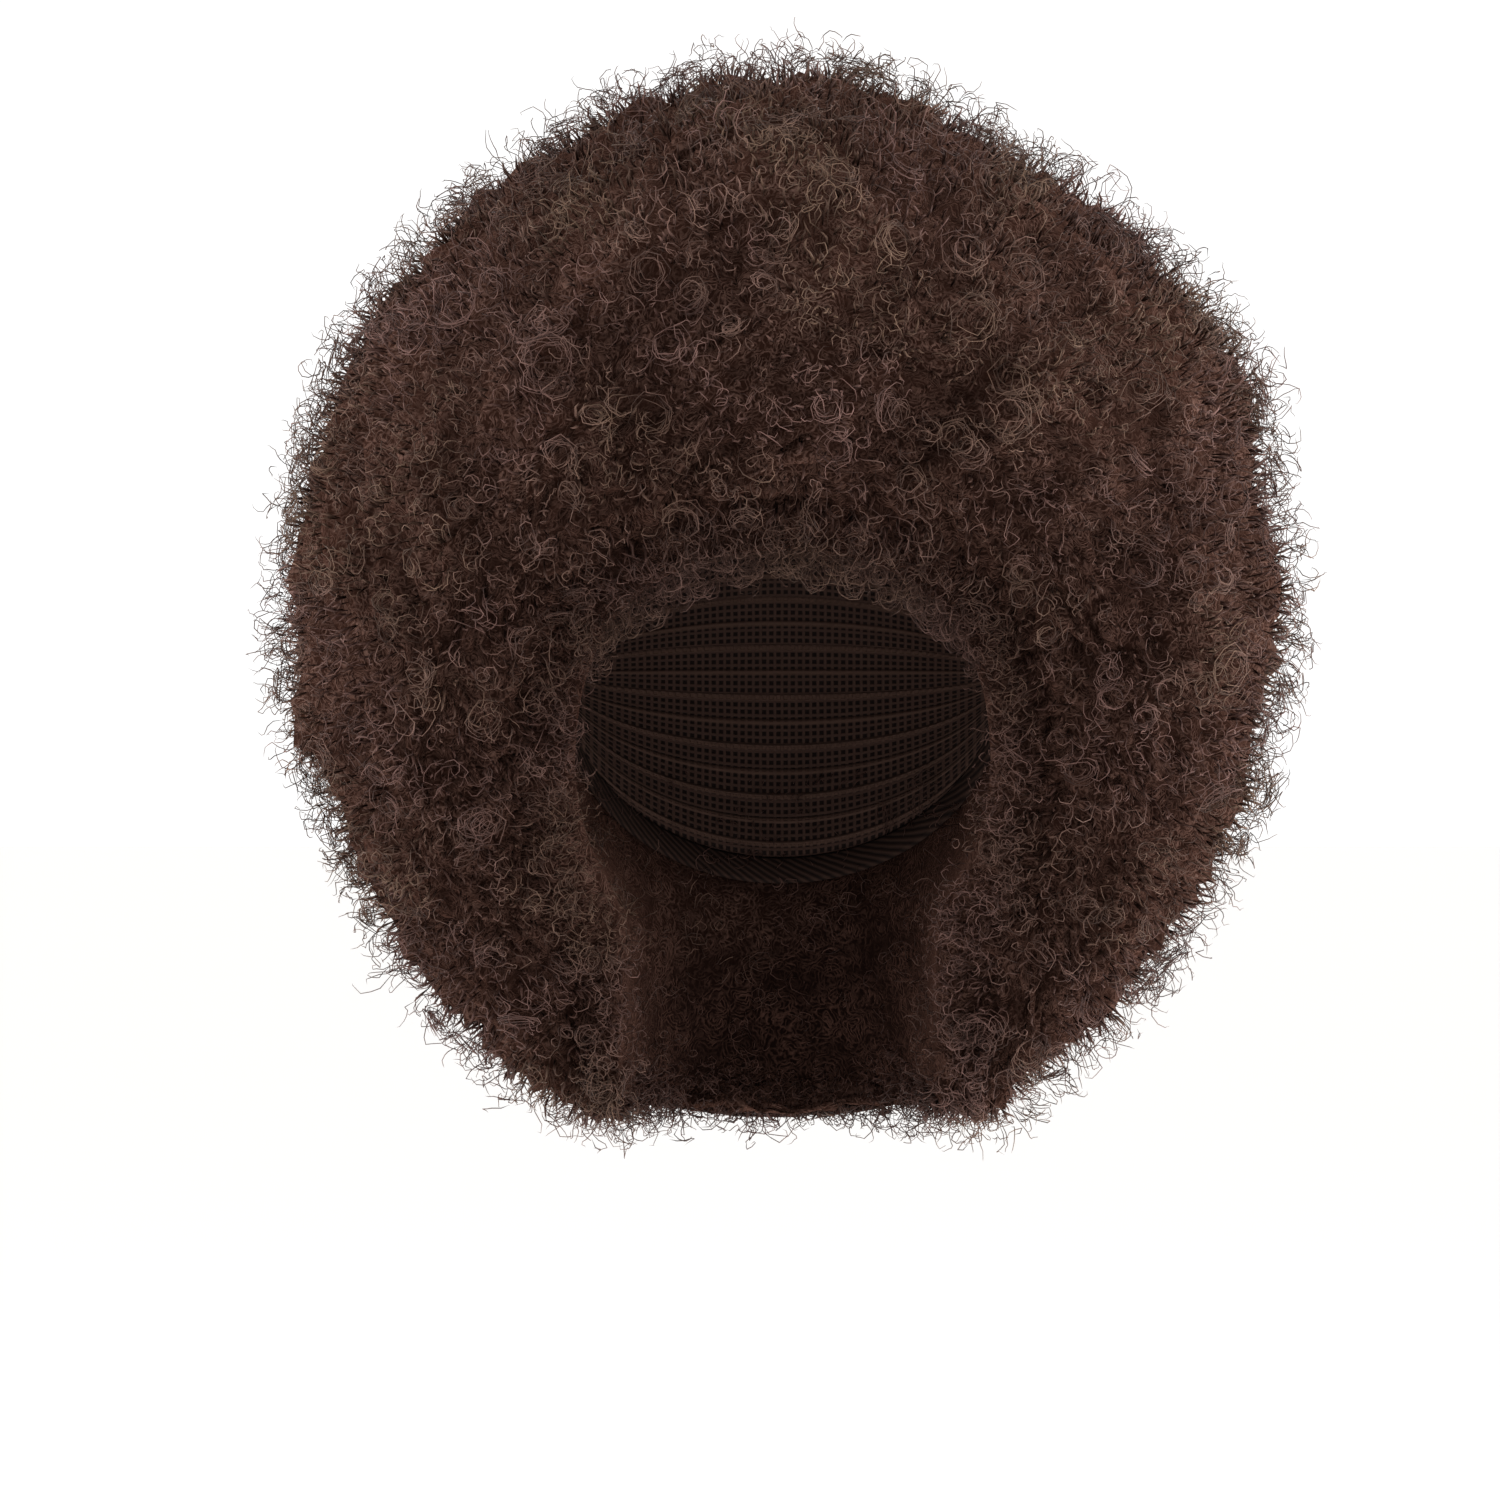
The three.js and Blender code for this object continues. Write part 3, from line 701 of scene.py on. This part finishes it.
def regions(surface):
    """The hair's outside triangles by region, from the direction of their middles seen
    from the ball's middle: the top, then the sides by their turn round upright."""
    middles = surface["points"][surface["triangles"]].mean(axis=1)
    lows, highs = surface["points"].min(0), surface["points"].max(0)
    ways = unit(middles - (lows + highs) / 2)
    turn = np.degrees(np.arctan2(ways[:, 0], -ways[:, 1]))
    outside = surface["face_outside"]
    top = ways[:, 2] > TOP_RISE
    side = outside & ~top
    return {
        "curls_top": np.flatnonzero(outside & top),
        "curls_front": np.flatnonzero(side & (np.abs(turn) < FRONT_TURN)),
        "curls_right": np.flatnonzero(side & (turn >= FRONT_TURN) & (turn < SIDE_TURN)),
        "curls_left": np.flatnonzero(side & (turn <= -FRONT_TURN) & (turn > -SIDE_TURN)),
        "curls_back_right": np.flatnonzero(side & (turn >= SIDE_TURN)),
        "curls_back_left": np.flatnonzero(side & (turn <= -SIDE_TURN)),
    }


def area_of(surface, faces):
    """Area of the chosen triangles."""
    a, b, c = (surface["points"][surface["triangles"][faces, i]] for i in range(3))
    return np.linalg.norm(np.cross(b - a, c - a), axis=1).sum() / 2


def make_curls(surface, name, faces, budget, shares, material):
    """One piece of strands over the chosen triangles: each kind takes its share of the budget of
    triangles, and strands near the hair's edge are shorter. A strand's tone is the painted share of
    light at its root, times 0.7 to 1.3 in slow patches and 0.5 to 1.2 by chance, plus its kind's
    painted light shift."""
    points, polygons, uv, used = [], [[], []], [[], []], 0
    for kind_name, share in shares.items():
        kind = STRAND_KINDS[kind_name]
        bundles = int(budget * share / triangles_of(kind))
        roots, normals, edge, light = pick_roots(surface, faces, bundles)
        size = np.clip(SHORTEST_SHARE + edge / FULL_SIZE_REACH, 0, 1)
        cover = np.clip(edge / BODY_SINK_REACH, 0, 1)
        paths = strand_paths(roots, normals, kind, size, cover)
        patches = soft_tone(roots, TONE_PATCH)
        # Painted light and shade: the share of light at the root, lighter loose ends and darker
        # tufts, on top of the fibre's own tone
        tone = np.repeat(light * (0.7 + 0.6 * patches), kind["strands"])
        tone = tone * (0.5 + 0.7 * rng.random(len(tone))) + kind["painted_light_shift"]
        tones = np.clip(tone, 0, 1 - TONE_WIDTH)
        made = strand_mesh(paths, tones, kind["width"] * MM, kind["tip"])
        points.append(made[0])
        for i in range(2):
            polygons[i].append(made[1][i] + used)
            uv[i].append(made[2][i])
        used += len(made[0])
    piece = build_mesh(name, np.concatenate(points), [np.concatenate(p) for p in polygons],
                       [np.concatenate(u) for u in uv])
    return dress(piece, material)


# Pieces

def make_body(surface, material):
    """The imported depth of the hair: the frame's surface sunk along its normals, each
    corner a little more or less by chance and less towards the edge, so that the strands
    stand out of it. The inside stays where it is."""
    share = np.clip(surface["edge"] / BODY_SINK_REACH, 0, 1)
    rough = rng.normal(0, BODY_ROUGHNESS, len(share))
    sink = np.where(surface["outside"], (BODY_SINK + rough) * share, 0)
    points = surface["points"] - surface["normals"] * sink[:, None]
    piece = build_mesh("hair_body", points, [surface["triangles"]])
    # Painted shade: each corner's share of light, which darkens the body's colours in the hollows
    # and at the openings
    light = piece.data.attributes.new("light", "FLOAT", "POINT")
    light.data.foreach_set("value", surface["light"].astype(np.float32))
    return dress(piece, material, ["hair"])


def make_shell(name, node, material):
    """A thin sewn piece: its frame node with each triangle cut in four."""
    points, triangles = divide(*read_node(node))
    return dress(build_mesh(name, points, [triangles]), material, [node])


def make_hairline(material):
    """Sparse fine curls from temple to temple, rooted over the strip that the frame has
    there: small open rings of fine fibre that lie flat and reach past its edge."""
    points, triangles = read_node("front_hairline")
    normals = corner_normals(points, triangles)
    rays = unit(points - BOWL_CENTRE)
    outward = np.einsum("ij,ij->i", normals, rays)
    surface = {"points": points, "triangles": triangles, "normals": rays,
               "edge": np.zeros(len(points)), "light": np.ones(len(points))}
    faces = np.flatnonzero((outward[triangles] > HAIRLINE_FACING).all(axis=1))
    roots, ways, _, _ = pick_roots(surface, faces, HAIRLINE_CURLS)
    even = np.ones(len(roots))
    paths = strand_paths(roots, ways, HAIRLINE_CURL, even, even)
    tones = HAIRLINE_TONE + rng.random(len(paths)) * HAIRLINE_TONE_SPREAD
    made = strand_mesh(paths, tones, HAIRLINE_CURL["width"] * MM, HAIRLINE_CURL["tip"])
    piece = build_mesh("hairline_curls", *made)
    return dress(piece, material, ["front_hairline"])


def make_floor():
    """A wide plain floor under the wig, which hangs clear of it."""
    lowest = packed_box[0][2] - FLOOR_DROP
    corners = np.array([[-1, -1], [1, -1], [1, 1], [-1, 1]]) * FLOOR_REACH
    points = np.column_stack([corners, np.full(4, lowest)])
    floor = build_mesh("floor", points, [np.array([[0, 1, 2, 3]])])
    floor.data.materials.append(floor_material())


def make_camera():
    """The photo's view: level, straight from the front, with the photo's frame."""
    data = bpy.data.cameras.new("camera")
    data.sensor_width = SENSOR_WIDTH
    data.lens = SENSOR_WIDTH * CAMERA_DISTANCE / PHOTO_WIDTH
    camera = bpy.data.objects.new("camera", data)
    camera.location = (PHOTO_MIDDLE_X, -CAMERA_DISTANCE, PHOTO_MIDDLE_Z)
    camera.rotation_euler = (math.pi / 2, 0, 0)
    bpy.context.scene.collection.objects.link(camera)
    bpy.context.scene.camera = camera


def make_light(name, place, aim, size, power):
    """A square soft light at a place, turned to face the aim."""
    data = bpy.data.lights.new(name, "AREA")
    data.size = size
    data.energy = power
    light = bpy.data.objects.new(name, data)
    light.location = place
    away = unit(np.array(place, float) - np.array(aim, float))
    light.rotation_euler = (math.acos(away[2]), 0, math.atan2(away[1], away[0]) + math.pi / 2)
    bpy.context.scene.collection.objects.link(light)


def make_studio():
    """White surroundings, a large soft light at each side, the left one higher, and one
    behind, which lights the loose ends."""
    world = bpy.data.worlds.new("studio")
    world.use_nodes = True
    world.node_tree.nodes["Background"].inputs["Color"].default_value = (1, 1, 1, 1)
    world.node_tree.nodes["Background"].inputs["Strength"].default_value = 1.1
    bpy.context.scene.world = world
    aim = (0, 0, -0.06)
    make_light("key_light", (-1.9, -0.3, 0.0), aim, 1.2, 28)
    make_light("fill_light", (1.9, -0.3, -0.1), aim, 1.2, 48)
    make_light("back_light", (0.3, 1.9, 0.5), aim, 1.4, 10)
    bpy.context.scene.view_settings.view_transform = "Standard"


make_camera()
make_studio()
make_floor()
strand_finish = fibre_strand_material()
hair = hair_surface()
make_body(hair, fibre_body_material())
parts = regions(hair)
outside_area = sum(area_of(hair, faces) for faces in parts.values())
for part_name, part_faces in parts.items():
    part_budget = OUTSIDE_BUDGET * area_of(hair, part_faces) / outside_area
    make_curls(hair, part_name, part_faces, part_budget, OUTSIDE_SHARES, strand_finish)
inside_faces = np.flatnonzero(~hair["face_outside"])
inside_heights = hair["points"][hair["triangles"][inside_faces]].mean(axis=1)[:, 2]
low_faces = inside_faces[inside_heights < INSIDE_TOP]
make_curls(hair, "curls_inside", low_faces, INSIDE_BUDGET, INSIDE_SHARES, strand_finish)
near_edge = (hair["edge"][hair["triangles"]] < EDGE_WIDTH).all(axis=1)
rim_faces = np.flatnonzero(near_edge & hair["face_outside"])
make_curls(hair, "curls_edge", rim_faces, EDGE_BUDGET, EDGE_SHARES, strand_finish)
make_hairline(strand_finish)
make_shell("cap_net", "cap", cap_net_material())
make_shell("cap_edge_band", "cap_band", elastic_material())
